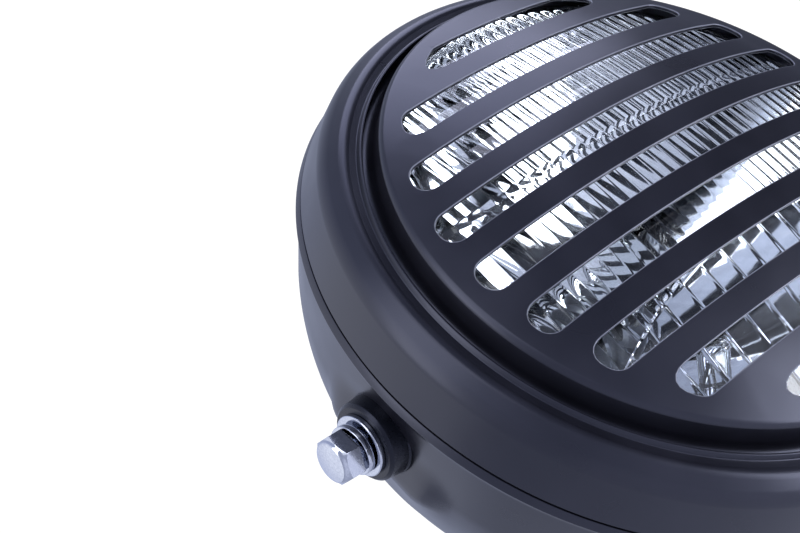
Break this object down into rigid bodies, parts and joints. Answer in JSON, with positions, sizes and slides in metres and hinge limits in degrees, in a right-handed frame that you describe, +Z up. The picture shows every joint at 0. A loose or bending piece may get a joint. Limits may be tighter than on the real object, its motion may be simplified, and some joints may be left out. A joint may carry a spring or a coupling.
{
  "type": "motorcycle headlamp",
  "caption": "Round motorcycle headlamp: a domed slotted grille over a fluted glass lens, in a black trim ring and bowl that hangs between side bolts.",
  "frame": {"origin": "where the axis of the side bolts crosses the optical axis", "axes": "+Z up as fitted to the motorcycle, the lens faces -Y, +X to the right seen from the front"},
  "size_m": [0.2216, 0.1327, 0.1973],
  "materials": {
    "satin_black_paint": "satin black powder coat on pressed steel",
    "fluted_glass": "clear pressed glass with flutes",
    "aluminised_mirror": "bright vacuum-aluminised bowl",
    "black_rubber": "matt black rubber",
    "spring_steel": "zinc-plated spring steel",
    "bulb_glass": "clear blown glass",
    "plated_steel": "zinc-plated steel",
    "brass_blades": "plain brass",
    "chrome_plate": "bright chrome plate",
    "black_nylon": "moulded black nylon"
  },
  "bodies": {
    "root": {"bucket": "satin_black_paint", "trim_ring": "satin_black_paint", "grille": "satin_black_paint", "lens": "fluted_glass", "reflector": "aluminised_mirror", "lens_gasket": "black_rubber", "bulb_boot": "black_rubber", "pilot_holder": "black_rubber", "cable_grommet": "black_rubber", "retaining_clip_1": "spring_steel", "retaining_clip_2": "spring_steel", "retaining_clip_3": "spring_steel", "retaining_clip_4": "spring_steel", "bulb_clip": "spring_steel", "bulb_glass": "bulb_glass", "pilot_bulb": "bulb_glass", "bulb_base": "plated_steel", "left_weld_nut": "plated_steel", "right_weld_nut": "plated_steel", "trim_screw": "plated_steel", "trim_screw_nut": "plated_steel", "bulb_terminals": "brass_blades", "left_side_bolt": "chrome_plate", "right_side_bolt": "chrome_plate", "left_flat_washer": "chrome_plate", "right_flat_washer": "chrome_plate", "left_spring_washer": "chrome_plate", "right_spring_washer": "chrome_plate", "left_spacer": "black_nylon", "right_spacer": "black_nylon"}
  },
  "joints": []
}
